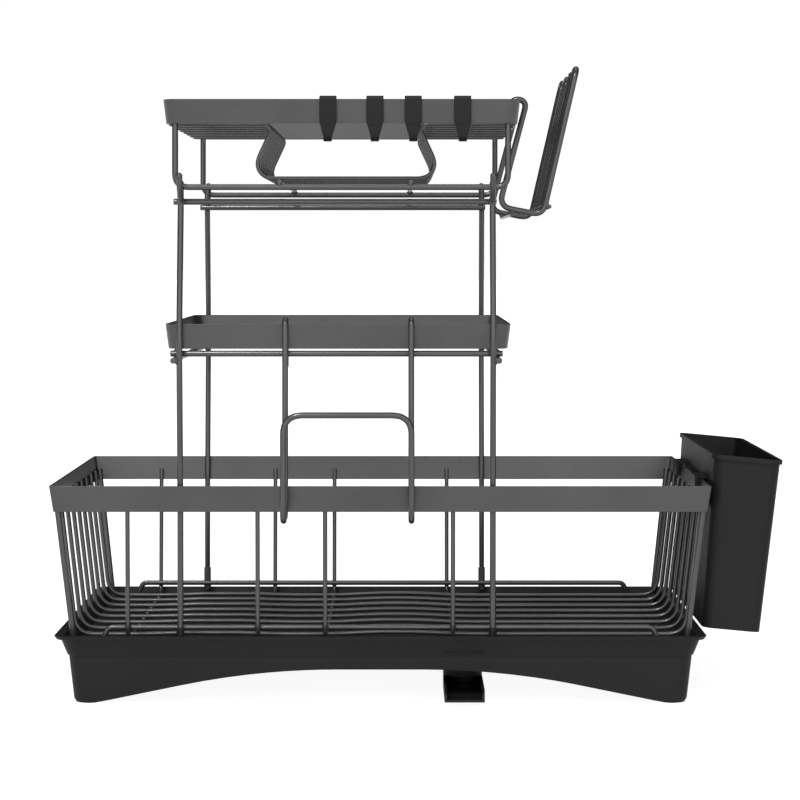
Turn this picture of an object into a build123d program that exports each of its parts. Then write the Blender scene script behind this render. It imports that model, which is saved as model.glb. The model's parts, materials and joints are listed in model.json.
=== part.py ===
from build123d import *
from math import atan2, ceil, cos, degrees, hypot, radians, sin, tan
import os

os.makedirs("parts", exist_ok=True)

# Three-tier countertop dish rack. Lengths in mm, angles in degrees, +Z up, front toward -Y.

# Fits
seat = 0.3
weld = 0.2
slip = 0.3

# Wire section
wire_sides = 8
wire_corner_share = 1.05
bend_step = 30.0

# Main basket
basket_length = 430.3
basket_depth = 290.0
rim_top_z = 142.0
rim_height = 17.0
rim_thick = 1.2
rim_taper = 2.5
rim_corner_r = 2.6
basket_wire_d = 3.0
basket_floor_z = 42.0
basket_wire_count = 8
basket_wire_pitch_share = 0.1117
basket_bend_r = 11.0
upright_lean = 6.65
side_lean = 2.9
upright_top_drop = 9.0
bump_height = 2.5
bump_bend_r = 240.0
left_bump_share = -0.52
left_bump_half = 30.5
right_bump_share = 0.049
right_bump_half = 37.5
cross_wire_shares = (-0.764, -0.371, -0.167, 0.2195)
post_d = 4.0
post_lean = 6.65
post_side_lean = 4.2
rail_d = 3.6
rail_end_gap = 37.6
rail_bend_out = 3.6
rail_bend_drop = 9.2
rail_bend_r = 4.0
rail_rise = 7.0
socket_outer_d = 5.2
socket_bore_d = 3.9
socket_floor = 1.0
socket_sides = 16
front_socket_height = 4.8
rear_socket_height = 16.3
socket_bottom_z = 43.7

# Drip tray
tray_end_inset = 3.0
tray_side_outset = 3.5
tray_lip_top_z = 44.6
tray_lip_height = 2.4
tray_lip_overhang = 3.9
tray_wall = 2.2
tray_upper_draft = 4.0
tray_floor_top_z = 33.4
tray_floor = 2.0
tray_ledge = 0.6
tray_skirt_draft = 3.6
tray_corner_r = 10.0
tray_foot_height = 2.6
tray_foot_round = 1.3
tray_lip_round = 1.4
arch_crown_z = 22.2
arch_foot_length = 13.1
arch_slope_run = 107.5
arch_crown_r = 500.0
arch_foot_r = 30.0
outlet_height = 1.7

# Drain and spout
drain_share = 0.2533
drain_back = 60.0
drain_bore_d = 15.6
nozzle_d = 19.6
nozzle_bottom_z = 14.0
flange_d = 22.0
flange_top_z = 19.6
flange_height = 2.0
drain_sink_d = 56.0
drain_sink_depth = 1.3
spout_width = 26.0
spout_wall = 1.6
spout_bottom_z = 3.5
spout_height = 8.0
spout_out = 12.0
collar_top_z = 22.0
collar_lip_height = 1.9
collar_lip_d = 20.6
spout_tip_slope = 3.0

# Tier frame
frame_wire_d = 4.0
leg_left_gap = 85.1
leg_spacing = 203.2
leg_step = 0.8
pin_d = 3.2
waist_gap = 3.0
waist_z = 240.0
waist_bend_r = 60.0
fork_z = 325.6
fork_angle = 45.0
fork_run = 11.0
fork_bend_r = 4.0
fork_tip_bend_r = 6.0
fork_tip_z = 345.0
prong_height = 15.0
top_rod_overhang = 5.0
top_rod_rise = 1.0
side_rod_z = 223.5

# Middle tier
middle_left_out = 10.2
middle_right_out = 11.9
middle_depth_less = 2.0
middle_rim_height = 16.2
middle_rim_taper = 2.0
tier_corner_r = 11.0
middle_rod_in = 3.0
middle_rod_overhang = 4.4
tier_wire_d = 2.8
tier_side_wire_d = 3.0

# Top tier
top_left_out = 11.4
top_right_out = 17.9
top_rim_height = 15.8
top_rim_taper = 1.8
top_floor_above_cradle = 42.0
cradle_in = 8.0
cradle_bend_r = 7.0
cradle_lap = 8.0
trough_left_in = 60.0
trough_right_in = 48.7
trough_lean = 25.0
trough_rod_d = 3.3
trough_rod_in = 9.0
trough_low_r = 9.5
trough_top_r = 4.0
bend_stub = 1.0

# Board holder on the right edge of the top tier
board_wire_d = 4.0
board_loop_d = 3.0
board_front_gap = 53.0
board_span_share = 0.6793
board_strand_count = 8
board_hook_out = 4.2
board_hook_bend_r = 4.5
board_hook_tail = 9.0
board_inner_foot_x = 12.3
board_inner_foot_drop = 69.4
board_slot_run = 29.2
board_slot_fall = 5.7
board_tip_run = 22.5
board_tip_rise = 97.8
board_bend_r = 6.5
board_loop_bend_r = 8.0

# Front holder on the middle tier
holder_left_share = 0.337
holder_width_share = 0.402
holder_bottom_z = 120.0
holder_depth = 36.4
holder_bar_z = 190.0
holder_tail_z = 219.0
holder_hook_bend_r = 4.0
holder_bend_r = 10.0

# Small hooks on the front of the top tier
hook_insets = (125.0, 94.5, 69.65, 37.65)
hook_width = 11.1
hook_tip_width = 5.4
hook_thick = 1.8
hook_tail = 8.0
hook_straight = 15.0
hook_drop = 27.0
hook_curl_r = 5.0
hook_curl_bend_r = 4.9
hook_tip_rise = 3.0
hook_bend_r = 1.5

# Cutlery holder on the right edge of the main basket
cutlery_gap = 15.85
cutlery_bottom_z = 44.9
cutlery_height = 114.4
cutlery_tilt = 5.32
cutlery_width = 44.0
cutlery_side_draft = 2.9
cutlery_length = 240.0
cutlery_end_draft = 4.0
cutlery_centre_y = 1.5
cutlery_wall = 1.8
cutlery_corner_r = 7.0
cutlery_bead = 1.5
cutlery_bead_height = 3.0
cutlery_hook_width = 28.0
cutlery_hook_spacing_share = 0.567
cutlery_hook_thick = 2.0
cutlery_hook_grip = 8.0
cutlery_drain_length = 9.0
cutlery_drain_width = 3.0
cutlery_drain_pitch = 24.0

# Derived positions, measured from the middle of the main basket
half_x = basket_length / 2
half_y = basket_depth / 2
basket_wire_pitch = basket_depth * basket_wire_pitch_share
left_bump_x = half_x * left_bump_share
right_bump_x = half_x * right_bump_share
cross_wire_xs = [half_x * share for share in cross_wire_shares]
rail_half_length = half_x - rail_end_gap
drain_x = half_x * drain_share
leg_left_x = leg_left_gap - half_x
rim_bottom_z = rim_top_z - rim_height
wire_r = basket_wire_d / 2
frame_r = frame_wire_d / 2
upright_slope = tan(radians(upright_lean))
side_slope = tan(radians(side_lean))
rail_r = rail_d / 2
upright_top_z = rim_top_z - upright_top_drop
end_x_at_rim = half_x - rim_taper - rim_thick - wire_r + weld
side_y_at_rim = half_y - rim_taper - rim_thick - wire_r + weld
end_top_x = end_x_at_rim + (upright_top_z - rim_bottom_z) * upright_slope
end_foot_x = end_x_at_rim - (rim_bottom_z - basket_floor_z) * upright_slope
cross_z = basket_floor_z - basket_wire_d + weld
side_top_y = side_y_at_rim + (upright_top_z - rim_bottom_z) * side_slope
side_foot_y = side_y_at_rim - (rim_bottom_z - cross_z) * side_slope
floor_tangent = basket_bend_r * tan(radians(90 - upright_lean) / 2) + bend_stub
side_tangent = basket_bend_r * tan(radians(90 - side_lean) / 2) + bend_stub
rail_z = basket_floor_z + rail_rise
rail_y = side_y_at_rim - (rim_bottom_z - rail_z) * side_slope - wire_r - rail_r + weld
post_r = post_d / 2
post_slope = tan(radians(post_lean))
post_side_slope = tan(radians(post_side_lean))
post_foot_z = tray_floor_top_z + seat + post_r * sin(radians(post_lean)) * 2
post_rim_x = half_x - rim_taper - rim_thick - post_r + weld
post_rim_y = half_y - rim_taper - rim_thick - post_r + weld
socket_y = rail_y + rail_r + socket_outer_d / 2 - weld

leg_right_x = leg_left_x + leg_spacing
middle_length = leg_spacing + middle_left_out + middle_right_out
middle_x = (leg_left_x - middle_left_out + leg_right_x + middle_right_out) / 2
middle_depth = basket_depth - middle_depth_less
middle_half_y = middle_depth / 2
waist_y = middle_half_y + waist_gap + frame_r
pin_bottom_z = socket_bottom_z + socket_floor + seat
top_inner_y = half_y - top_rim_taper - rim_thick
cradle_corner_r = tier_corner_r - rim_thick
cradle_corner_x = top_rim_taper + tier_corner_r - cradle_in
cradle_corner_step = cradle_corner_r - (cradle_corner_r ** 2 - cradle_corner_x ** 2) ** 0.5
cradle_y = top_inner_y - cradle_corner_step - frame_r + weld
fork_reach = frame_wire_d + slip
fork_y = cradle_y - fork_reach
cradle_z = fork_z + fork_reach / tan(radians(fork_angle) / 2)
fork_rise = fork_run / tan(radians(fork_angle))
side_rod_half = waist_y + frame_r
top_rod_y = fork_y - frame_wire_d + weld

middle_rod_z = side_rod_z + frame_wire_d + seat
middle_side_z = middle_rod_z + frame_r + tier_side_wire_d / 2 - weld
middle_bottom_z = middle_side_z - weld
middle_floor_z = middle_side_z + tier_side_wire_d / 2 + tier_wire_d / 2 - weld
middle_top_z = middle_bottom_z + middle_rim_height
middle_rod_y = middle_half_y - middle_rod_in

top_left = leg_left_x - top_left_out
top_right = leg_right_x + top_right_out
top_length = top_right - top_left
top_x = (top_left + top_right) / 2
top_floor_z = cradle_z + top_floor_above_cradle
top_bottom_z = top_floor_z - tier_wire_d / 4
top_top_z = top_bottom_z + top_rim_height
trough_left_x = leg_left_x + trough_left_in
trough_right_x = leg_right_x - trough_right_in
trough_x = (trough_left_x + trough_right_x) / 2
trough_rod_z = cradle_z + frame_r + trough_rod_d / 2 - weld
trough_z = trough_rod_z + trough_rod_d / 2 + tier_wire_d / 2 - weld
trough_half = (trough_right_x - trough_left_x) / 2
hook_xs = [top_right - inset for inset in hook_insets]
trough_flare = (top_floor_z - trough_z) * tan(radians(trough_lean))
trough_tangent = trough_top_r * tan(radians(90 + trough_lean) / 2) + bend_stub

spout_y = drain_back - half_y
spout_reach = drain_back + spout_out
board_front_y = board_front_gap - half_y
board_span = basket_depth * board_span_share
holder_left_x = leg_left_x + leg_spacing * holder_left_share
holder_width = leg_spacing * holder_width_share
cutlery_bottom_x = half_x + cutlery_gap
cutlery_bottom_width = cutlery_width - 2 * cutlery_side_draft
cutlery_bottom_length = cutlery_length - 2 * cutlery_end_draft
cutlery_hook_spacing = cutlery_length * cutlery_hook_spacing_share
cutlery_drain_count = int(cutlery_bottom_length / cutlery_drain_pitch)
holder_y = half_y + slip * 2 + frame_r
holder_front_y = holder_y + holder_depth
cutlery_cos = cos(radians(cutlery_tilt))
cutlery_sin = sin(radians(cutlery_tilt))
cutlery_reach = (cutlery_width / 2 + cutlery_bead) * cutlery_cos + cutlery_height * cutlery_sin

# Shift that puts the middle of the whole rack at X = Y = 0
left_reach = half_x
right_reach = cutlery_bottom_x + cutlery_reach
front_reach = holder_front_y + frame_r
rear_reach = side_rod_half
mid_x = (right_reach - left_reach) / 2
mid_y = (rear_reach - front_reach) / 2


def at(x, y, z):
    return (x - mid_x, y - mid_y, z)


# A bend is a run of short straight steps, each end of which lies on the arc
def bent(before, corner, after, radius):
    back = (Vector(*before) - Vector(*corner)).normalized()
    ahead = (Vector(*after) - Vector(*corner)).normalized()
    turn = 180 - back.get_angle(ahead)
    steps = ceil(turn / bend_step)
    centre = Vector(*corner) + (back + ahead).normalized() * (radius / cos(radians(turn / 2)))
    arm = Vector(*corner) + back * (radius * tan(radians(turn / 2))) - centre
    axis = Axis((0, 0, 0), tuple(ahead.cross(back)))
    return [centre + arm.rotate(axis, turn * i / steps) for i in range(steps + 1)]


def route(points, bends):
    path = [Vector(*points[0])]
    for i, radius in enumerate(bends):
        path += bent(points[i], points[i + 1], points[i + 2], radius)
    return path + [Vector(*points[-1])]


def wire(points, bends, diameter):
    with BuildLine() as path:
        Polyline(*route(points, bends))
    with BuildSketch(Plane(origin=path.line @ 0, z_dir=path.line % 0)) as section:
        RegularPolygon(diameter / 2 * wire_corner_share, wire_sides)
    sweep(section.sketch, path=path.line, transition=Transition.RIGHT)


def block(x, y, length, depth, bottom_z, top_z, cut, corner_r, mode=Mode.ADD):
    with BuildSketch(Plane.XY.offset(bottom_z)) as low:
        with Locations((x - mid_x, y - mid_y)):
            RectangleRounded(length - 2 * cut, depth - 2 * cut, corner_r)
    with BuildSketch(Plane.XY.offset(top_z)) as high:
        with Locations((x - mid_x, y - mid_y)):
            RectangleRounded(length, depth, corner_r)
    loft([low.sketch, high.sketch], ruled=True, mode=mode)


def rim(x, length, depth, bottom_z, height, taper, corner_r):
    top_z = bottom_z + height
    inner = 2 * rim_thick
    block(x, 0, length, depth, bottom_z, top_z, taper, corner_r)
    block(x, 0, length - inner, depth - inner, bottom_z, top_z, taper, corner_r - rim_thick, Mode.SUBTRACT)


def spread(count, pitch):
    return [(i - (count - 1) / 2) * pitch for i in range(count)]


wire_ys = spread(basket_wire_count, basket_wire_pitch)

# Main basket rim and wires
with BuildPart() as basket_rim:
    rim(0, basket_length, basket_depth, rim_bottom_z, rim_height, rim_taper, rim_corner_r)

floor_half = end_foot_x - floor_tangent
with BuildPart() as basket_floor_wires:
    for y in wire_ys:
        z = basket_floor_z
        points = [
            at(-floor_half, y, z),
            at(left_bump_x - left_bump_half, y, z),
            at(left_bump_x, y, z + bump_height),
            at(left_bump_x + left_bump_half, y, z),
            at(right_bump_x - right_bump_half, y, z),
            at(right_bump_x, y, z + bump_height),
            at(right_bump_x + right_bump_half, y, z),
            at(floor_half, y, z),
        ]
        wire(points, [bump_bend_r] * (len(points) - 2), basket_wire_d)


def end_wires(side):
    for y in wire_ys:
        points = [
            at(side * floor_half, y, basket_floor_z),
            at(side * end_foot_x, y, basket_floor_z),
            at(side * end_top_x, y, upright_top_z),
        ]
        wire(points, [basket_bend_r], basket_wire_d)


with BuildPart() as basket_left_wires:
    end_wires(-1)

with BuildPart() as basket_right_wires:
    end_wires(1)

cross_half = side_foot_y - side_tangent
with BuildPart() as basket_cross_wires:
    for x in cross_wire_xs:
        wire([at(x, -cross_half, cross_z), at(x, cross_half, cross_z)], [], basket_wire_d)


def side_wires(side):
    for x in cross_wire_xs:
        points = [
            at(x, side * cross_half, cross_z),
            at(x, side * side_foot_y, cross_z),
            at(x, side * side_top_y, upright_top_z),
        ]
        wire(points, [basket_bend_r], basket_wire_d)


with BuildPart() as basket_front_wires:
    side_wires(-1)

with BuildPart() as basket_rear_wires:
    side_wires(1)

with BuildPart() as basket_posts:
    for sx in (-1, 1):
        for sy in (-1, 1):
            drop = rim_bottom_z - post_foot_z
            rise = upright_top_z - rim_bottom_z
            foot_x = sx * (post_rim_x - drop * post_slope)
            foot_y = sy * (post_rim_y - drop * post_side_slope)
            head_x = sx * (post_rim_x + rise * post_slope)
            head_y = sy * (post_rim_y + rise * post_side_slope)
            foot = at(foot_x, foot_y, post_foot_z)
            head = at(head_x, head_y, upright_top_z)
            wire([foot, head], [], post_d)


def rail(side):
    points = [
        at(-rail_half_length - rail_bend_out, side * rail_y, rail_z - rail_bend_drop),
        at(-rail_half_length, side * rail_y, rail_z),
        at(rail_half_length, side * rail_y, rail_z),
        at(rail_half_length + rail_bend_out, side * rail_y, rail_z - rail_bend_drop),
    ]
    wire(points, [rail_bend_r] * 2, rail_d)


with BuildPart() as basket_front_rail:
    rail(-1)

with BuildPart() as basket_rear_rail:
    rail(1)


def sockets(side, height):
    spots = [at(x, side * socket_y, 0)[:2] for x in (leg_left_x, leg_right_x)]
    with BuildSketch(Plane.XY.offset(socket_bottom_z)) as outer:
        with Locations(*spots):
            RegularPolygon(socket_outer_d / 2, socket_sides)
    extrude(outer.sketch, amount=height)
    with BuildSketch(Plane.XY.offset(socket_bottom_z + socket_floor)) as bore:
        with Locations(*spots):
            RegularPolygon(socket_bore_d / 2, socket_sides)
    extrude(bore.sketch, amount=height, mode=Mode.SUBTRACT)


with BuildPart() as front_sockets:
    sockets(-1, front_socket_height)

with BuildPart() as rear_sockets:
    sockets(1, rear_socket_height)

# Drip tray
lip_length = basket_length - 2 * tray_end_inset
lip_depth = basket_depth + 2 * tray_side_outset
wall_length = lip_length - 2 * tray_lip_overhang
wall_depth = lip_depth - 2 * tray_lip_overhang
skirt_length = wall_length - 2 * (tray_upper_draft + tray_ledge)
skirt_depth = wall_depth - 2 * (tray_upper_draft + tray_ledge)
lip_bottom_z = tray_lip_top_z - tray_lip_height
floor_bottom_z = tray_floor_top_z - tray_floor
inside_r = tray_corner_r - tray_wall
upper_draft = tray_skirt_draft * (tray_floor_top_z - tray_foot_height) / tray_floor_top_z
walls = 2 * tray_wall
arch_half_length = skirt_length / 2 - tray_skirt_draft - arch_foot_length
with BuildPart() as drip_tray:
    block(0, 0, skirt_length, skirt_depth, tray_foot_height, tray_floor_top_z, upper_draft, tray_corner_r)
    block(0, 0, skirt_length - 2 * upper_draft, skirt_depth - 2 * upper_draft, 0, tray_foot_height,
          tray_foot_round, tray_corner_r)
    block(0, 0, skirt_length - walls, skirt_depth - walls, 0, floor_bottom_z, tray_skirt_draft, inside_r,
          Mode.SUBTRACT)
    with BuildSketch(Plane.XZ):
        left = -arch_half_length - mid_x
        right = arch_half_length - mid_x
        with BuildLine():
            FilletPolyline(
                (left - arch_foot_r, 0),
                (left, 0),
                (left + arch_slope_run, arch_crown_z),
                (right - arch_slope_run, arch_crown_z),
                (right, 0),
                (right + arch_foot_r, 0),
                radius=[arch_foot_r, arch_crown_r, arch_crown_r, arch_foot_r],
            )
            Polyline(
                (right + arch_foot_r, 0),
                (right + arch_foot_r, -tray_floor),
                (left - arch_foot_r, -tray_floor),
                (left - arch_foot_r, 0),
            )
        make_face()
    extrude(amount=basket_depth, both=True, mode=Mode.SUBTRACT)
    block(0, 0, wall_length, wall_depth, floor_bottom_z, lip_bottom_z, tray_upper_draft, tray_corner_r)
    block(0, 0, lip_length, lip_depth, lip_bottom_z, tray_lip_top_z, tray_lip_round, tray_corner_r)
    block(0, 0, wall_length - walls, wall_depth - walls, tray_floor_top_z, tray_lip_top_z,
          tray_upper_draft, inside_r, Mode.SUBTRACT)
    with BuildSketch(Plane.XY.offset(nozzle_bottom_z)):
        with Locations(at(drain_x, spout_y, 0)[:2]):
            Circle(nozzle_d / 2)
    extrude(amount=floor_bottom_z - nozzle_bottom_z)
    with BuildSketch(Plane.XY.offset(flange_top_z - flange_height)):
        with Locations(at(drain_x, spout_y, 0)[:2]):
            Circle(flange_d / 2)
    extrude(amount=flange_height)
    with BuildSketch(Plane.XY.offset(tray_floor_top_z - drain_sink_depth)):
        with Locations(at(drain_x, spout_y, 0)[:2]):
            Circle(nozzle_d / 2)
    with BuildSketch(Plane.XY.offset(tray_floor_top_z)):
        with Locations(at(drain_x, spout_y, 0)[:2]):
            Circle(drain_sink_d / 2)
    loft(mode=Mode.SUBTRACT)
    with BuildSketch(Plane.XY.offset(nozzle_bottom_z)):
        with Locations(at(drain_x, spout_y, 0)[:2]):
            Circle(drain_bore_d / 2)
    extrude(amount=tray_lip_top_z - nozzle_bottom_z, mode=Mode.SUBTRACT)
    with BuildSketch(Plane.XY.offset(tray_floor_top_z)):
        with Locations(at(drain_x, -wall_depth / 2, 0)[:2]):
            Rectangle(spout_width, tray_wall * 4)
    extrude(amount=outlet_height, mode=Mode.SUBTRACT)

# Swivelling drain spout
spout_top_z = spout_bottom_z + spout_height
spout_inside = spout_width - 2 * spout_wall
with BuildPart() as drain_spout:
    with BuildSketch(Plane.XY.offset(spout_bottom_z)):
        with Locations(at(drain_x, spout_y, 0)[:2]):
            Circle(spout_width / 2)
        with Locations(at(drain_x, spout_y - spout_reach / 2, 0)[:2]):
            Rectangle(spout_width, spout_reach)
    extrude(amount=spout_height)
    with BuildSketch(Plane.XY.offset(spout_bottom_z)):
        with Locations(at(drain_x, spout_y, 0)[:2]):
            Circle(spout_width / 2)
    extrude(amount=collar_top_z - spout_bottom_z)
    with BuildSketch(Plane.XY.offset(spout_bottom_z + spout_wall)):
        with Locations(at(drain_x, spout_y, 0)[:2]):
            Circle(spout_inside / 2)
    extrude(amount=collar_top_z - collar_lip_height - spout_bottom_z - spout_wall, mode=Mode.SUBTRACT)
    with BuildSketch(Plane.XY.offset(spout_bottom_z + spout_wall)):
        with Locations(at(drain_x, spout_y, 0)[:2]):
            Circle(collar_lip_d / 2)
    extrude(amount=collar_top_z - spout_bottom_z, mode=Mode.SUBTRACT)
    with BuildSketch(Plane.XY.offset(spout_bottom_z + spout_wall)):
        with Locations(at(drain_x, spout_y - spout_reach / 2, 0)[:2]):
            Rectangle(spout_inside, spout_reach)
    extrude(amount=spout_height - spout_wall, mode=Mode.SUBTRACT)
    with BuildSketch(Plane.YZ.offset(drain_x - mid_x)):
        tip = spout_y - spout_reach - mid_y
        with BuildLine():
            Polyline(
                (tip, spout_bottom_z + spout_wall * 2),
                (tip, spout_top_z),
                (tip + spout_tip_slope, spout_top_z),
                (tip, spout_bottom_z + spout_wall * 2),
            )
        make_face()
    extrude(amount=spout_width, both=True, mode=Mode.SUBTRACT)


# Tier frame standing in the basket
def shoulder_z(side):
    return socket_bottom_z + seat + (front_socket_height if side < 0 else rear_socket_height)


with BuildPart() as frame_legs:
    for x in (leg_left_x, leg_right_x):
        for side in (-1, 1):
            points = [
                at(x, side * socket_y, shoulder_z(side)),
                at(x, side * (socket_y + leg_step), rim_bottom_z),
                at(x, side * waist_y, waist_z),
                at(x, side * fork_y, fork_z),
                at(x, side * (fork_y + fork_run), fork_z + fork_rise),
                at(x, side * waist_y, fork_tip_z),
            ]
            wire(points, [waist_bend_r, waist_bend_r, fork_bend_r, fork_tip_bend_r], frame_wire_d)

with BuildPart() as frame_pins:
    for x in (leg_left_x, leg_right_x):
        for side in (-1, 1):
            foot = at(x, side * socket_y, pin_bottom_z)
            wire([foot, at(x, side * socket_y, shoulder_z(side))], [], pin_d)

with BuildPart() as frame_prongs:
    for x in (leg_left_x, leg_right_x):
        for side in (-1, 1):
            foot = at(x, side * fork_y, fork_z)
            wire([foot, at(x, side * fork_y, fork_z + prong_height)], [], frame_wire_d)

with BuildPart() as frame_top_rods:
    for side in (-1, 1):
        left = at(leg_left_x - top_rod_overhang, side * top_rod_y, fork_z + top_rod_rise)
        right = at(leg_right_x + top_rod_overhang / 2, side * top_rod_y, fork_z + top_rod_rise)
        wire([left, right], [], frame_wire_d)

with BuildPart() as frame_side_rods:
    for x in (leg_left_x - frame_wire_d + weld, leg_right_x + frame_wire_d - weld):
        wire([at(x, -side_rod_half, side_rod_z), at(x, side_rod_half, side_rod_z)], [], frame_wire_d)

# Middle tier
middle_inner_x = middle_length / 2 - middle_rim_taper - rim_thick / 2
middle_inner_y = middle_half_y - middle_rim_taper - rim_thick / 2
with BuildPart() as middle_rim:
    rim(middle_x, middle_length, middle_depth, middle_bottom_z, middle_rim_height, middle_rim_taper,
        tier_corner_r)

with BuildPart() as middle_support_rods:
    for side in (-1, 1):
        left = at(leg_left_x - frame_r - middle_rod_overhang, side * middle_rod_y, middle_rod_z)
        right = at(leg_right_x + frame_r + middle_rod_overhang, side * middle_rod_y, middle_rod_z)
        wire([left, right], [], frame_wire_d)

middle_side_xs = (leg_left_x - frame_r, leg_right_x + frame_r)
with BuildPart() as middle_side_wires:
    for x in middle_side_xs:
        wire([at(x, -middle_inner_y, middle_side_z), at(x, middle_inner_y, middle_side_z)], [],
             tier_side_wire_d)

with BuildPart() as middle_floor_wires:
    for y in wire_ys:
        left = at(middle_x - middle_inner_x, y, middle_floor_z)
        wire([left, at(middle_x + middle_inner_x, y, middle_floor_z)], [], tier_wire_d)

# Top tier
with BuildPart() as top_rim:
    rim(top_x, top_length, basket_depth, top_bottom_z, top_rim_height, top_rim_taper, tier_corner_r)

top_inner_x = top_length / 2 - top_rim_taper - rim_thick / 2
trough_left = trough_x - trough_half - trough_tangent
trough_right = trough_x + trough_half + trough_tangent
with BuildPart() as top_floor_left:
    for y in wire_ys:
        left = at(top_x - top_inner_x, y, top_floor_z)
        wire([left, at(trough_left, y, top_floor_z)], [], tier_wire_d)

with BuildPart() as top_floor_right:
    for y in wire_ys:
        right = at(top_x + top_inner_x, y, top_floor_z)
        wire([at(trough_right, y, top_floor_z), right], [], tier_wire_d)

with BuildPart() as top_trough_wires:
    for y in wire_ys:
        points = [
            at(trough_left, y, top_floor_z),
            at(trough_x - trough_half, y, top_floor_z),
            at(trough_x - trough_half - trough_flare, y, trough_z),
            at(trough_x + trough_half + trough_flare, y, trough_z),
            at(trough_x + trough_half, y, top_floor_z),
            at(trough_right, y, top_floor_z),
        ]
        wire(points, [trough_top_r, trough_low_r, trough_low_r, trough_top_r], tier_wire_d)

trough_rod_xs = (trough_x - trough_half + trough_rod_in / 2, trough_x + trough_half - trough_rod_in / 2)
with BuildPart() as top_trough_rods:
    for x in trough_rod_xs:
        wire([at(x, -cradle_y, trough_rod_z), at(x, cradle_y, trough_rod_z)], [], trough_rod_d)


def cradle(side):
    points = [
        at(top_left + cradle_in, side * cradle_y, top_bottom_z + cradle_lap),
        at(top_left + cradle_in, side * cradle_y, cradle_z),
        at(top_right - cradle_in, side * cradle_y, cradle_z),
        at(top_right - cradle_in, side * cradle_y, top_bottom_z + cradle_lap),
    ]
    wire(points, [cradle_bend_r] * 2, frame_wire_d)


with BuildPart() as top_cradle_front:
    cradle(-1)

with BuildPart() as top_cradle_rear:
    cradle(1)

# Board holder hooked over the right edge of the top tier
board_r = board_wire_d / 2
board_hook_z = top_top_z + seat + board_r
board_tail_x = top_right - rim_thick - top_rim_taper * board_hook_tail / top_rim_height - slip * 2 - board_r
board_top_x = top_right + seat + board_r + board_hook_out
board_foot_z = board_hook_z - board_inner_foot_drop - board_r
board_foot_x = top_right - board_inner_foot_x
board_outer_x = board_foot_x + board_slot_run
board_outer_z = board_foot_z - board_slot_fall
board_tip_x = board_outer_x + board_tip_run
board_tip_z = board_outer_z + board_tip_rise
board_pitch = board_span / (board_strand_count - 1)
board_back_y = board_front_y + board_span
board_rise_angle = degrees(atan2(board_tip_run, board_tip_rise))


def board_wire(y, loop_y):
    points = [
        at(board_tail_x, y, board_hook_z - board_hook_tail),
        at(board_tail_x, y, board_hook_z),
        at(board_top_x, y, board_hook_z),
        at(board_foot_x, y, board_foot_z),
        at(board_outer_x, y, board_outer_z),
        at(board_tip_x, y, board_tip_z),
        at(board_tip_x, loop_y, board_tip_z),
        at(board_outer_x + board_loop_x, loop_y, board_outer_z + board_loop_z),
    ]
    bends = [board_hook_bend_r] * 2 + [board_bend_r] * 2 + [board_loop_bend_r] * 2
    wire(points, bends, board_wire_d)


board_up_x = sin(radians(board_rise_angle))
board_up_z = cos(radians(board_rise_angle))
board_loop_x = board_up_x * board_bend_r
board_loop_z = board_up_z * board_bend_r
with BuildPart() as board_front_wire:
    board_wire(board_front_y, board_front_y + board_pitch)

with BuildPart() as board_rear_wire:
    board_wire(board_back_y, board_back_y - board_pitch)

with BuildPart() as board_loops:
    for i in (2, 4):
        near = board_front_y + i * board_pitch
        far = near + board_pitch
        points = [
            at(board_outer_x + board_loop_x, near, board_outer_z + board_loop_z),
            at(board_tip_x, near, board_tip_z),
            at(board_tip_x, far, board_tip_z),
            at(board_outer_x + board_loop_x, far, board_outer_z + board_loop_z),
        ]
        wire(points, [board_loop_bend_r] * 2, board_loop_d)

with BuildPart() as board_rods:
    ahead = board_front_y - board_r / 2
    behind = board_back_y + board_r / 2
    out_x = board_outer_x + board_loop_x + board_up_z * (board_loop_d - weld)
    out_z = board_outer_z + board_loop_z - board_up_x * (board_loop_d - weld)
    wire([at(out_x, ahead, out_z), at(out_x, behind, out_z)], [], board_loop_d)
    slot_length = hypot(board_slot_run, board_slot_fall)
    slot_share = board_bend_r * 1.4 / slot_length
    under = board_r + board_loop_d / 2 - weld
    low_x = board_foot_x + board_slot_run * slot_share - board_slot_fall / slot_length * under
    low_z = board_foot_z - board_slot_fall * slot_share - board_slot_run / slot_length * under
    wire([at(low_x, ahead, low_z), at(low_x, behind, low_z)], [], board_loop_d)

# Front holder hooked over the front edge of the middle tier
holder_hook_z = middle_top_z + seat + frame_r
holder_tail_y = middle_rod_y - frame_wire_d - slip * 2
holder_right_x = holder_left_x + holder_width
with BuildPart() as front_holder:
    points = [
        at(holder_left_x, -holder_tail_y, holder_tail_z),
        at(holder_left_x, -holder_tail_y, holder_hook_z),
        at(holder_left_x, -holder_y, holder_hook_z),
        at(holder_left_x, -holder_y, holder_bottom_z + frame_r),
        at(holder_left_x, -holder_front_y, holder_bottom_z + frame_r),
        at(holder_left_x, -holder_front_y, holder_bar_z),
        at(holder_right_x, -holder_front_y, holder_bar_z),
        at(holder_right_x, -holder_front_y, holder_bottom_z + frame_r),
        at(holder_right_x, -holder_y, holder_bottom_z + frame_r),
        at(holder_right_x, -holder_y, holder_hook_z),
        at(holder_right_x, -holder_tail_y, holder_hook_z),
        at(holder_right_x, -holder_tail_y, holder_tail_z),
    ]
    hook_bends = [holder_hook_bend_r] * 2
    wire(points, hook_bends + [holder_bend_r] * 6 + hook_bends, frame_wire_d)

# Small hooks on the front edge of the top tier
hook_inside_y = rim_thick + seat + hook_thick / 2 + top_rim_taper * hook_tail / top_rim_height
hook_outside_y = -seat - hook_thick / 2
hook_top_z = top_top_z + seat + hook_thick / 2
hook_low_z = top_top_z - hook_drop
hook_tip_y = hook_outside_y - 2 * hook_curl_r


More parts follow.
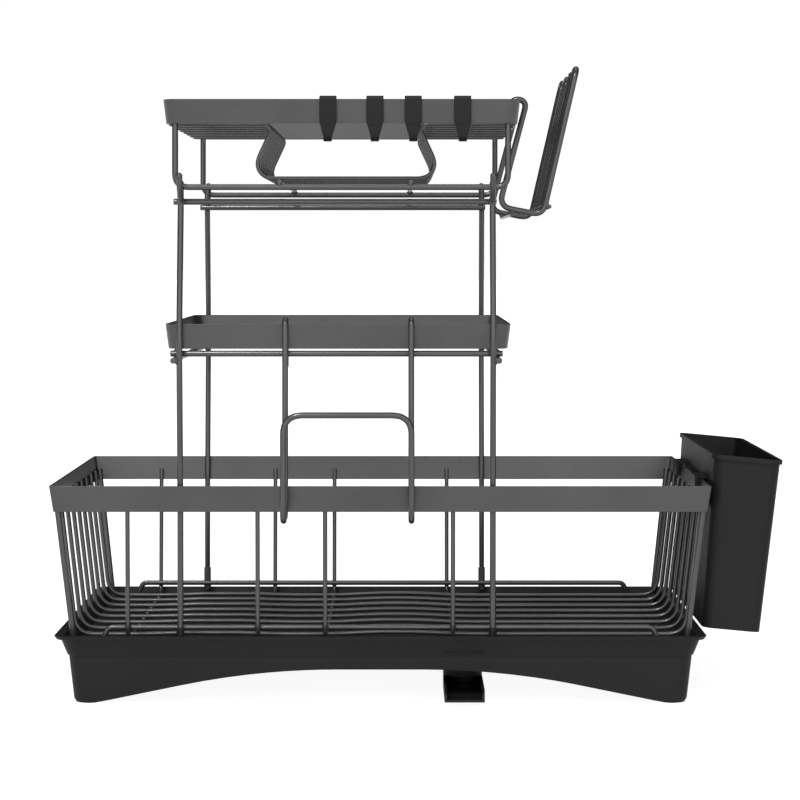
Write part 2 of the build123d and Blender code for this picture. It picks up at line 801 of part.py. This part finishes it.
def strip_side(path, reach):
    side = []
    for i, corner in enumerate(path):
        came = (corner - path[i - 1]).normalized() if i else (path[1] - corner).normalized()
        goes = (path[i + 1] - corner).normalized() if i + 1 < len(path) else came
        mean = (came + goes).normalized()
        side.append(corner + Vector(-mean.Y, mean.X) * (reach / mean.dot(goes)))
    return side


def small_hook(x):
    front = -half_y - mid_y
    points = [
        (front + hook_inside_y, hook_top_z - hook_tail, 0),
        (front + hook_inside_y, hook_top_z, 0),
        (front + hook_outside_y, hook_top_z, 0),
        (front + hook_outside_y, hook_low_z, 0),
        (front + hook_tip_y, hook_low_z, 0),
        (front + hook_tip_y, hook_low_z + hook_curl_r + hook_tip_rise, 0),
    ]
    path = route(points, [hook_bend_r] * 2 + [hook_curl_bend_r] * 2)
    outline = strip_side(path, hook_thick / 2) + strip_side(path, -hook_thick / 2)[::-1]
    with BuildSketch(Plane.YZ.offset(x - mid_x)) as profile:
        with BuildLine():
            Polyline(*outline, close=True)
        make_face()
    extrude(profile.sketch, amount=hook_width / 2, both=True)
    wide = hook_width / 2
    slim = hook_tip_width / 2
    low = hook_low_z - hook_thick
    with BuildSketch(Plane.XZ.offset(half_y)) as taper:
        for side in (-1, 1):
            with BuildLine():
                Polyline(
                    (x - mid_x + side * wide, top_top_z - hook_straight),
                    (x - mid_x + side * slim, hook_low_z + hook_thick),
                    (x - mid_x + side * slim, low),
                    (x - mid_x + side * wide * 2, low),
                    (x - mid_x + side * wide * 2, top_top_z - hook_straight),
                    close=True,
                )
            make_face()
    extrude(taper.sketch, amount=half_y, both=True, mode=Mode.SUBTRACT)


with BuildPart() as hook_1:
    small_hook(hook_xs[0])

with BuildPart() as hook_2:
    small_hook(hook_xs[1])

with BuildPart() as hook_3:
    small_hook(hook_xs[2])

with BuildPart() as hook_4:
    small_hook(hook_xs[3])

# Cutlery holder hung on the right edge of the main basket
cutlery_base = Plane(
    origin=at(cutlery_bottom_x, cutlery_centre_y, cutlery_bottom_z),
    x_dir=(cutlery_cos, 0, -cutlery_sin),
    z_dir=(cutlery_sin, 0, cutlery_cos),
)
cutlery_walls = 2 * cutlery_wall
hook_ys = spread(2, cutlery_hook_spacing)
grip_taper = rim_taper * cutlery_hook_grip / rim_height
hook_inner_x = half_x - rim_thick - grip_taper - seat * 2 - cutlery_hook_thick - mid_x
climb = rim_top_z - cutlery_bottom_z
half_there = (cutlery_bottom_width + (cutlery_width - cutlery_bottom_width) * climb / cutlery_height) / 2
wall_x = cutlery_bottom_x + climb * tan(radians(cutlery_tilt)) - half_there / cutlery_cos
hook_face_x = wall_x + cutlery_wall - mid_x
hook_bar_z = rim_top_z + seat + cutlery_hook_thick


def cutlery_block(shrink, low, high, corner_r, mode):
    with BuildSketch(cutlery_base.offset(low)) as bottom:
        RectangleRounded(cutlery_bottom_width - shrink, cutlery_bottom_length - shrink, corner_r)
    with BuildSketch(cutlery_base.offset(high)) as top:
        RectangleRounded(cutlery_width - shrink, cutlery_length - shrink, corner_r)
    loft([bottom.sketch, top.sketch], ruled=True, mode=mode)


with BuildPart() as cutlery_holder:
    cutlery_block(0, 0, cutlery_height, cutlery_corner_r, Mode.ADD)
    with BuildSketch(cutlery_base.offset(cutlery_height - cutlery_bead_height)):
        RectangleRounded(cutlery_width + 2 * cutlery_bead, cutlery_length + 2 * cutlery_bead,
                         cutlery_corner_r + cutlery_bead)
    extrude(amount=cutlery_bead_height)
    for hook_y in hook_ys:
        with BuildSketch(Plane.XZ.offset(mid_y - cutlery_centre_y - hook_y)):
            with BuildLine():
                Polyline(
                    (hook_inner_x, rim_top_z - cutlery_hook_grip),
                    (hook_inner_x, hook_bar_z),
                    (hook_face_x, hook_bar_z),
                    (hook_face_x, rim_top_z + seat),
                    (hook_inner_x + cutlery_hook_thick, rim_top_z + seat),
                    (hook_inner_x + cutlery_hook_thick, rim_top_z - cutlery_hook_grip),
                    close=True,
                )
            make_face()
        extrude(amount=cutlery_hook_width / 2, both=True)
    cutlery_block(cutlery_walls, cutlery_wall, cutlery_height, cutlery_corner_r - cutlery_wall, Mode.SUBTRACT)
    with BuildSketch(cutlery_base):
        with GridLocations(cutlery_bottom_width / 3, cutlery_drain_pitch, 2, cutlery_drain_count):
            Rectangle(cutlery_drain_length, cutlery_drain_width)
    extrude(amount=cutlery_wall * 2, mode=Mode.SUBTRACT)

basket_rim.part.label = "basket_rim"
basket_floor_wires.part.label = "basket_floor_wires"
basket_left_wires.part.label = "basket_left_wires"
basket_right_wires.part.label = "basket_right_wires"
basket_cross_wires.part.label = "basket_cross_wires"
basket_front_wires.part.label = "basket_front_wires"
basket_rear_wires.part.label = "basket_rear_wires"
basket_posts.part.label = "basket_posts"
basket_front_rail.part.label = "basket_front_rail"
basket_rear_rail.part.label = "basket_rear_rail"
front_sockets.part.label = "front_sockets"
rear_sockets.part.label = "rear_sockets"
drip_tray.part.label = "drip_tray"
drain_spout.part.label = "drain_spout"
frame_legs.part.label = "frame_legs"
frame_pins.part.label = "frame_pins"
frame_prongs.part.label = "frame_prongs"
frame_top_rods.part.label = "frame_top_rods"
frame_side_rods.part.label = "frame_side_rods"
middle_rim.part.label = "middle_rim"
middle_support_rods.part.label = "middle_support_rods"
middle_side_wires.part.label = "middle_side_wires"
middle_floor_wires.part.label = "middle_floor_wires"
top_rim.part.label = "top_rim"
top_floor_left.part.label = "top_floor_left"
top_floor_right.part.label = "top_floor_right"
top_trough_wires.part.label = "top_trough_wires"
top_trough_rods.part.label = "top_trough_rods"
top_cradle_front.part.label = "top_cradle_front"
top_cradle_rear.part.label = "top_cradle_rear"
board_front_wire.part.label = "board_front_wire"
board_rear_wire.part.label = "board_rear_wire"
board_loops.part.label = "board_loops"
board_rods.part.label = "board_rods"
front_holder.part.label = "front_holder"
hook_1.part.label = "hook_1"
hook_2.part.label = "hook_2"
hook_3.part.label = "hook_3"
hook_4.part.label = "hook_4"
cutlery_holder.part.label = "cutlery_holder"

export_step(basket_rim.part, "parts/basket_rim.step")
export_step(basket_floor_wires.part, "parts/basket_floor_wires.step")
export_step(basket_left_wires.part, "parts/basket_left_wires.step")
export_step(basket_right_wires.part, "parts/basket_right_wires.step")
export_step(basket_cross_wires.part, "parts/basket_cross_wires.step")
export_step(basket_front_wires.part, "parts/basket_front_wires.step")
export_step(basket_rear_wires.part, "parts/basket_rear_wires.step")
export_step(basket_posts.part, "parts/basket_posts.step")
export_step(basket_front_rail.part, "parts/basket_front_rail.step")
export_step(basket_rear_rail.part, "parts/basket_rear_rail.step")
export_step(front_sockets.part, "parts/front_sockets.step")
export_step(rear_sockets.part, "parts/rear_sockets.step")
export_step(drip_tray.part, "parts/drip_tray.step")
export_step(drain_spout.part, "parts/drain_spout.step")
export_step(frame_legs.part, "parts/frame_legs.step")
export_step(frame_pins.part, "parts/frame_pins.step")
export_step(frame_prongs.part, "parts/frame_prongs.step")
export_step(frame_top_rods.part, "parts/frame_top_rods.step")
export_step(frame_side_rods.part, "parts/frame_side_rods.step")
export_step(middle_rim.part, "parts/middle_rim.step")
export_step(middle_support_rods.part, "parts/middle_support_rods.step")
export_step(middle_side_wires.part, "parts/middle_side_wires.step")
export_step(middle_floor_wires.part, "parts/middle_floor_wires.step")
export_step(top_rim.part, "parts/top_rim.step")
export_step(top_floor_left.part, "parts/top_floor_left.step")
export_step(top_floor_right.part, "parts/top_floor_right.step")
export_step(top_trough_wires.part, "parts/top_trough_wires.step")
export_step(top_trough_rods.part, "parts/top_trough_rods.step")
export_step(top_cradle_front.part, "parts/top_cradle_front.step")
export_step(top_cradle_rear.part, "parts/top_cradle_rear.step")
export_step(board_front_wire.part, "parts/board_front_wire.step")
export_step(board_rear_wire.part, "parts/board_rear_wire.step")
export_step(board_loops.part, "parts/board_loops.step")
export_step(board_rods.part, "parts/board_rods.step")
export_step(front_holder.part, "parts/front_holder.step")
export_step(hook_1.part, "parts/hook_1.step")
export_step(hook_2.part, "parts/hook_2.step")
export_step(hook_3.part, "parts/hook_3.step")
export_step(hook_4.part, "parts/hook_4.step")
export_step(cutlery_holder.part, "parts/cutlery_holder.step")
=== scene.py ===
import itertools
import json
import math

import bmesh
import bpy
from mathutils import Matrix, Vector

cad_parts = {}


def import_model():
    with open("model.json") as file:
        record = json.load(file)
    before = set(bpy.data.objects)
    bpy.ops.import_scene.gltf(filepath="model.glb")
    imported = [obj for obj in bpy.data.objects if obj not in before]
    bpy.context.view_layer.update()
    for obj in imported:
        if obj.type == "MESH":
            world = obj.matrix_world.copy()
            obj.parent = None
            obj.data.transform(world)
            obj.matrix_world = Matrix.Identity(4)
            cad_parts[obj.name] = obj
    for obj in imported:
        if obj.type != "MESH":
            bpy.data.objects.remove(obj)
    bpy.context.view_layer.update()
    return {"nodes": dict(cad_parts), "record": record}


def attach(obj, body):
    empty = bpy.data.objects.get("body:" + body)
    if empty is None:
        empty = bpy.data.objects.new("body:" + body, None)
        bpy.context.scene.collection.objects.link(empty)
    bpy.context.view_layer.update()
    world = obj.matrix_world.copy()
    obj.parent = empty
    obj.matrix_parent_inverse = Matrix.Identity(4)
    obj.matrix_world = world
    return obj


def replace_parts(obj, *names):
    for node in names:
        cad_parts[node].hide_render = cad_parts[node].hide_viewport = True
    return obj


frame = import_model()
nodes = frame["nodes"]
MM = 0.001


# Node helpers
def new_material(name):
    mat = bpy.data.materials.new(name)
    mat.use_nodes = True
    tree = mat.node_tree
    shader = next(n for n in tree.nodes if n.type == "BSDF_PRINCIPLED")
    return mat, tree, shader


def noise(tree, coords, scale, detail=3.0, rough=0.55, distortion=0.0):
    n = tree.nodes.new("ShaderNodeTexNoise")
    n.inputs["Scale"].default_value = scale
    n.inputs["Detail"].default_value = detail
    n.inputs["Roughness"].default_value = rough
    n.inputs["Distortion"].default_value = distortion
    tree.links.new(coords, n.inputs["Vector"])
    return n.outputs["Fac"]


def ramp(tree, fac, low, high, low_out, high_out):
    n = tree.nodes.new("ShaderNodeMapRange")
    n.inputs["From Min"].default_value = low
    n.inputs["From Max"].default_value = high
    n.inputs["To Min"].default_value = low_out
    n.inputs["To Max"].default_value = high_out
    tree.links.new(fac, n.inputs["Value"])
    return n.outputs["Result"]


def maths(tree, operation, a, b):
    n = tree.nodes.new("ShaderNodeMath")
    n.operation = operation
    for socket, value in zip(n.inputs, (a, b)):
        if isinstance(value, (int, float)):
            socket.default_value = value
        else:
            tree.links.new(value, socket)
    return n.outputs[0]


def mix_colour(tree, fac, a, b):
    n = tree.nodes.new("ShaderNodeMix")
    n.data_type = "RGBA"
    for socket, value in ((n.inputs[6], a), (n.inputs[7], b)):
        if isinstance(value, tuple):
            socket.default_value = (*value, 1)
        else:
            tree.links.new(value, socket)
    tree.links.new(fac, n.inputs[0])
    return n.outputs[2]


def bump(tree, height, strength, distance, after=None):
    n = tree.nodes.new("ShaderNodeBump")
    n.inputs["Strength"].default_value = strength
    n.inputs["Distance"].default_value = distance
    tree.links.new(height, n.inputs["Height"])
    if after is not None:
        tree.links.new(after, n.inputs["Normal"])
    return n.outputs["Normal"]


def coords_of(tree):
    return tree.nodes.new("ShaderNodeTexCoord").outputs["Object"]


STEEL_DARK, STEEL_LIGHT, STEEL_SPECK = (0.088, 0.088, 0.090), (0.101, 0.101, 0.103), (0.14, 0.14, 0.143)
PLASTIC_DARK, PLASTIC_LIGHT = (0.0078, 0.0078, 0.0083), (0.0102, 0.0102, 0.0107)
CAP_DARK, CAP_LIGHT = (0.007, 0.007, 0.0075), (0.011, 0.011, 0.0115)
FLOOR_DARK, FLOOR_LIGHT = (0.50, 0.50, 0.50), (0.53, 0.53, 0.53)


def coated_steel():
    """Dark grey satin powder coat over steel: orange peel, fine grain, slight patchiness."""
    mat, tree, shader = new_material("coated_steel")
    co = coords_of(tree)
    patch = noise(tree, co, 16, 4)
    grain = noise(tree, co, 2600, 2, 0.6)
    peel = noise(tree, co, 520, 3, 0.5)
    tone = mix_colour(tree, ramp(tree, patch, 0.35, 0.65, 0, 1), STEEL_DARK, STEEL_LIGHT)
    tone = mix_colour(tree, ramp(tree, grain, 0.62, 0.74, 0, 0.35), tone, STEEL_SPECK)
    tree.links.new(tone, shader.inputs["Base Color"])
    tree.links.new(ramp(tree, patch, 0.3, 0.7, 0.20, 0.27), shader.inputs["Roughness"])
    shader.inputs["Metallic"].default_value = 0.62
    shader.inputs["Specular IOR Level"].default_value = 0.5
    first = bump(tree, peel, 0.22, 0.00012)
    tree.links.new(bump(tree, grain, 0.25, 0.00003, first), shader.inputs["Normal"])
    return mat


def black_plastic():
    """Matte black moulded plastic: fine spark-eroded grain and a faint sheen change."""
    mat, tree, shader = new_material("black_plastic")
    co = coords_of(tree)
    patch = noise(tree, co, 9, 4, 0.6, 0.4)
    grain = noise(tree, co, 1500, 3, 0.6)
    fine = noise(tree, co, 5200, 2, 0.5)
    tone = mix_colour(tree, ramp(tree, patch, 0.35, 0.65, 0, 1), PLASTIC_DARK, PLASTIC_LIGHT)
    tree.links.new(tone, shader.inputs["Base Color"])
    sheen = ramp(tree, patch, 0.3, 0.7, 0.44, 0.52)
    rough = maths(tree, "ADD", sheen, ramp(tree, grain, 0.3, 0.7, -0.03, 0.05))
    tree.links.new(rough, shader.inputs["Roughness"])
    shader.inputs["Specular IOR Level"].default_value = 0.24
    first = bump(tree, grain, 0.35, 0.00006)
    tree.links.new(bump(tree, fine, 0.25, 0.00002, first), shader.inputs["Normal"])
    return mat


def black_cap():
    """Soft black end cap."""
    mat, tree, shader = new_material("black_cap")
    co = coords_of(tree)
    grain = noise(tree, co, 1900, 3, 0.6)
    tone = mix_colour(tree, ramp(tree, grain, 0.35, 0.65, 0, 1), CAP_DARK, CAP_LIGHT)
    tree.links.new(tone, shader.inputs["Base Color"])
    tree.links.new(ramp(tree, grain, 0.3, 0.7, 0.58, 0.7), shader.inputs["Roughness"])
    shader.inputs["Specular IOR Level"].default_value = 0.3
    tree.links.new(bump(tree, grain, 0.3, 0.00005), shader.inputs["Normal"])
    return mat


steel, plastic, cap = coated_steel(), black_plastic(), black_cap()
by_slot = {"coated_steel": steel, "black_plastic": plastic, "black_cap": cap}
slot_of = {s["node"]: s["material_slot"] for s in frame["record"]["subparts"]}
SHARP_ANGLE = math.radians(32)
for name, obj in nodes.items():
    obj.data.materials.clear()
    obj.data.materials.append(by_slot[slot_of[name]])
    obj.data.shade_smooth()
    obj.data.set_sharp_from_angle(angle=SHARP_ANGLE)


def soften(name, width, limit=50):
    """Rounds a moulding's or band's edges as its coat or mould does."""
    obj = nodes[name]
    obj.modifiers.new("merge", "WELD").merge_threshold = 0.01 * MM
    mod = obj.modifiers.new("edge", "BEVEL")
    mod.width = width * MM
    mod.segments = 2
    mod.limit_method = "ANGLE"
    mod.angle_limit = math.radians(limit)
    obj.modifiers.new("flat", "WEIGHTED_NORMAL").keep_sharp = True


for band in ("basket_rim", "middle_rim", "top_rim"):
    soften(band, 0.3)
for hook in ("hook_1", "hook_2", "hook_3", "hook_4"):
    soften(hook, 0.4)
soften("drip_tray", 1.0, 40)
soften("cutlery_holder", 0.5, 60)
soften("drain_spout", 0.35, 60)


# Round wires over the CAD's eight-sided ones, whose rings of corners give their middle lines
CAD_SIDES = 8
CAD_CORNER_SHARE = 1.05
SIDES = 18
BEND_STEP = math.radians(7.5)
MEETING, SAME, GAUGE_OFF = 1 * MM, 0.02 * MM, 0.1 * MM
FLAT, ROUND, PARALLEL, LEAST_TURN = 0.9999, 1.02, 0.9, 0.002
END_STEPS = 4
BEAD_SIDES, BEAD_ROWS, BEAD_WIDTH, BEAD_HEIGHT, BEAD_APART = 12, 6, 0.7, 0.34, 2 * MM
DOMED = ("frame_legs", "frame_prongs")
DOME, EDGE = 0.95, 0.3


def end_faces(bm):
    """The corners of each flat end: eight of them, equally far from their middle."""
    ends, seen = [], set()
    for start in bm.faces:
        if start in seen:
            continue
        seen.add(start)
        flat, grow = [start], [start]
        while grow:
            for edge in grow.pop().edges:
                for face in edge.link_faces:
                    if face not in seen and face.normal.dot(start.normal) > FLAT:
                        seen.add(face)
                        flat.append(face)
                        grow.append(face)
        corners = {v for face in flat for v in face.verts}
        if len(corners) == CAD_SIDES:
            middle = sum((v.co for v in corners), Vector()) / CAD_SIDES
            reach = [(v.co - middle).length for v in corners]
            if max(reach) < ROUND * min(reach):
                ends.append((corners, middle, max(reach) / CAD_CORNER_SHARE))
    return ends


def wires_of(node):
    """Each wire of a CAD node as its radius and the middles of its rings from end to end."""
    bm = bmesh.new()
    bm.from_mesh(nodes[node].data)
    bmesh.ops.remove_doubles(bm, verts=bm.verts, dist=0.001 * MM)
    bm.normal_update()
    wires, seen = [], set()
    for corners, middle, radius in end_faces(bm):
        if corners & seen:
            continue
        line, ring = [], corners
        while ring:
            seen |= ring
            line.append(sum((v.co for v in ring), Vector()) / len(ring))
            ring = {e.other_vert(v) for v in ring for e in v.link_edges} - seen
        wires.append((radius, line, node))
    bm.free()
    return wires


def meeting(one, other):
    """The two wires as one where they meet end to end, or None."""
    if abs(one[0] - other[0]) > GAUGE_OFF:
        return None
    for a in (one[1], one[1][::-1]):
        for b in (other[1], other[1][::-1]):
            if (a[-1] - b[0]).length < MEETING:
                return one[0], a[:-1] + b[1:], one[2]
    return None


def joined(wires):
    """The wires of a body, with those that meet end to end as one."""
    done = []
    for wire in wires:
        found = True
        while found:
            found = False
            for other in done:
                both = meeting(other, wire)
                if both:
                    done.remove(other)
                    wire, found = both, True
                    break
        done.append(wire)
    return done


def bend_points(before, corner, after):
    """An arc for a corner, within half of the shorter run beside it."""
    back, ahead = before - corner, after - corner
    arm = min(back.length, ahead.length) / 2
    turn = math.pi - back.angle(ahead)
    if turn < LEAST_TURN:
        return [corner]
    back.normalize()
    ahead.normalize()
    centre = corner + (back + ahead).normalized() * (arm / math.sin(turn / 2))
    first = corner + back * arm - centre
    axis = ahead.cross(back).normalized()
    steps = math.ceil(turn / BEND_STEP)
    return [centre + Matrix.Rotation(turn * i / steps, 3, axis) @ first for i in range(steps + 1)]


def smooth_line(line):
    """The line with an arc at each corner, and no point doubled."""
    path = [line[0]]
    for before, corner, after in zip(line, line[1:], line[2:]):
        path += [p for p in bend_points(before, corner, after) if (p - path[-1]).length > SAME]
    return path + [line[-1]]


def end_rings(tip, inward, r, edge):
    """Rings from a wire's tip inward, its edge rounded over."""
    turns = [math.pi / 2 * i / END_STEPS for i in range(END_STEPS + 1)]
    return [(tip + inward * edge * (1 - math.cos(t)), r - edge * (1 - math.sin(t))) for t in turns]


def add_wire(verts, faces, path, r, domed):
    """A round tube along the path, its edges rounded over and its upper end a dome where asked."""
    runs = [(b - a).normalized() for a, b in zip(path, path[1:])]
    start, end = path[0], path[-1]
    edges = [r * (DOME if domed and tip.z > far.z else EDGE) for tip, far in ((start, end), (end, start))]
    rings = [(p, size, runs[0]) for p, size in end_rings(path[0], runs[0], r, edges[0])]
    for i, p in enumerate(path[1:-1], 1):
        rings.append((p, r, (runs[i - 1] + runs[i]).normalized()))
    rings += [(p, size, runs[-1]) for p, size in reversed(end_rings(path[-1], -runs[-1], r, edges[1]))]
    side = runs[0].orthogonal().normalized()
    first = len(verts)
    for place, radius, run in rings:
        side = (side - run * side.dot(run)).normalized()
        other = run.cross(side)
        for k in range(SIDES):
            a = 2 * math.pi * k / SIDES
            verts.append(place + (side * math.cos(a) + other * math.sin(a)) * radius)
    for i in range(len(rings) - 1):
        for k in range(SIDES):
            a, b = first + i * SIDES + k, first + i * SIDES + (k + 1) % SIDES
            faces.append((a, b, b + SIDES, a + SIDES))
    faces.append(tuple(range(first + SIDES - 1, first - 1, -1)))
    last = first + (len(rings) - 1) * SIDES
    faces.append(tuple(range(last, last + SIDES)))


def nearest(a, b, c, d):
    """The nearest points of the runs a-b and c-d."""
    u, v, w = b - a, d - c, a - c
    uu, uv, vv = u.dot(u), u.dot(v), v.dot(v)
    between = uu * vv - uv * uv
    s = (uv * v.dot(w) - vv * u.dot(w)) / between
    s = min(max(s, 0), 1)
    t = min(max((uv * s + v.dot(w)) / vv, 0), 1)
    s = min(max((uv * t - u.dot(w)) / uu, 0), 1)
    return a + u * s, c + v * t


def crossings(wires):
    """Where two wires of a body touch crosswise: the middle, the direction across and the radii's sum."""
    found = []
    for (ra, one, _), (rb, other, _) in itertools.combinations(wires, 2):
        for a, b in zip(one, one[1:]):
            for c, d in zip(other, other[1:]):
                if abs((b - a).normalized().dot((d - c).normalized())) > PARALLEL:
                    continue
                p, q = nearest(a, b, c, d)
                across = q - p
                if not 0.3 * ra < across.length < ra + rb:
                    continue
                middle = p + across * ra / (ra + rb)
                if all((middle - m).length > BEAD_APART for m, _, _ in found):
                    found.append((middle, across.normalized(), ra + rb))
    return found


def add_bead(verts, faces, centre, across, size, sides=BEAD_SIDES, rows=BEAD_ROWS):
    """A weld's small swelling, an ellipsoid flat along the direction across."""
    side = across.orthogonal().normalized()
    other = across.cross(side)
    first = len(verts)
    for j in range(1, rows):
        t = math.pi * j / rows
        for k in range(sides):
            a = 2 * math.pi * k / sides
            out = (side * math.cos(a) + other * math.sin(a)) * math.sin(t) * size * BEAD_WIDTH
            verts.append(centre + out + across * math.cos(t) * size * BEAD_HEIGHT)
    top, foot = len(verts), len(verts) + 1
    verts.append(centre + across * size * BEAD_HEIGHT)
    verts.append(centre - across * size * BEAD_HEIGHT)
    for j in range(rows - 2):
        for k in range(sides):
            a, b = first + j * sides + k, first + j * sides + (k + 1) % sides
            faces.append((a, a + sides, b + sides, b))
    last = first + (rows - 2) * sides
    for k in range(sides):
        faces.append((top, first + k, first + (k + 1) % sides))
        faces.append((foot, last + (k + 1) % sides, last + k))


def add_piece(name, body, verts, faces, material=steel):
    mesh = bpy.data.meshes.new(name)
    mesh.from_pydata([tuple(v) for v in verts], [], faces)
    mesh.materials.append(material)
    mesh.shade_smooth()
    obj = bpy.data.objects.new(name, mesh)
    bpy.context.scene.collection.objects.link(obj)
    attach(obj, body)
    return obj


for body, members in frame["record"]["behaviour"]["bodies"].items():
    by_node = {node: wires_of(node) for node in members if slot_of[node] == "coated_steel"}
    made = [node for node, wires in by_node.items() if wires]
    if not made:
        continue
    wires = joined([wire for node in made for wire in by_node[node]])
    verts, faces = [], []
    for radius, line, node in wires:
        add_wire(verts, faces, smooth_line(line), radius, node in DOMED)
    for middle, across, size in crossings(wires):
        add_bead(verts, faces, middle, across, size)
    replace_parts(add_piece(body + "_wires", body, verts, faces), *made)


# Floor and light
def seen_or(tree, seen, unseen):
    """One strength for what the camera sees directly and another for the light that reaches the rack."""
    camera = tree.nodes.new("ShaderNodeLightPath").outputs["Is Camera Ray"]
    rest = maths(tree, "SUBTRACT", 1.0, camera)
    return maths(tree, "ADD", maths(tree, "MULTIPLY", camera, seen), maths(tree, "MULTIPLY", rest, unseen))


def floor():
    """Pale floor, white where it is seen and dimmer as a light on the rack from below."""
    mat, tree, shader = new_material("pale_floor")
    co = coords_of(tree)
    grain = noise(tree, co, 60, 4)
    tone = mix_colour(tree, ramp(tree, grain, 0.3, 0.7, 0, 1), FLOOR_DARK, FLOOR_LIGHT)
    tree.links.new(tone, shader.inputs["Base Color"])
    tree.links.new(ramp(tree, grain, 0.3, 0.7, 0.6, 0.7), shader.inputs["Roughness"])
    shader.inputs["Specular IOR Level"].default_value = 0.1
    shader.inputs["Emission Color"].default_value = (1, 1, 1, 1)
    tree.links.new(seen_or(tree, FLOOR_GLOW, FLOOR_BOUNCE), shader.inputs["Emission Strength"])
    bpy.ops.mesh.primitive_plane_add(size=FLOOR_SIZE, location=(0, 0, 0))
    plane = bpy.context.object
    plane.name = "floor"
    plane.data.materials.append(mat)


def world():
    """A dark studio with a broad soft light in front and a weaker one above, seen as plain white."""
    w = bpy.data.worlds.new("studio")
    bpy.context.scene.world = w
    w.use_nodes = True
    tree = w.node_tree
    back = next(n for n in tree.nodes if n.type == "BACKGROUND")
    split = tree.nodes.new("ShaderNodeSeparateXYZ")
    tree.links.new(tree.nodes.new("ShaderNodeTexCoord").outputs["Generated"], split.inputs[0])
    front = ramp(tree, split.outputs["Y"], -0.3, -0.75, DARK, FRONT)
    above = ramp(tree, split.outputs["Z"], 0.3, 0.8, 0.0, ABOVE)
    studio = maths(tree, "ADD", front, above)
    tree.links.new(seen_or(tree, WHITE, studio), back.inputs["Strength"])
    back.inputs["Color"].default_value = (1, 1, 1, 1)


def sun(name, place, power, spread):
    light = bpy.data.lights.new(name, "SUN")
    light.energy = power
    light.angle = math.radians(spread)
    obj = bpy.data.objects.new(name, light)
    bpy.context.scene.collection.objects.link(obj)
    obj.rotation_euler = (-Vector(place)).to_track_quat("-Z", "Y").to_euler()


WHITE, DARK, FRONT, ABOVE = 1.03, 0.015, 1.45, 0.12
FLOOR_GLOW, FLOOR_BOUNCE, FLOOR_SIZE = 0.93, 0.5, 60
floor()
world()
sun("front_soft", (-0.3, -0.8, 1.1), 1.2, 9)
sun("back_soft", (0.0, 0.5, 1.0), 0.4, 25)

# Camera, level and square to the front
LENS, SENSOR = 136.0, 36.0
SHIFT_X, SHIFT_Y = -0.002, -0.1854
CAMERA_PLACE = (-11.11 * MM, -2086.5 * MM, 294 * MM)
cam = bpy.data.cameras.new("camera")
cam.lens, cam.sensor_width = LENS, SENSOR
cam.shift_x, cam.shift_y = SHIFT_X, SHIFT_Y
cam_obj = bpy.data.objects.new("camera", cam)
bpy.context.scene.collection.objects.link(cam_obj)
cam_obj.location = CAMERA_PLACE
cam_obj.rotation_euler = (math.radians(90), 0, 0)
bpy.context.scene.camera = cam_obj
bpy.context.scene.view_settings.view_transform = "Standard"
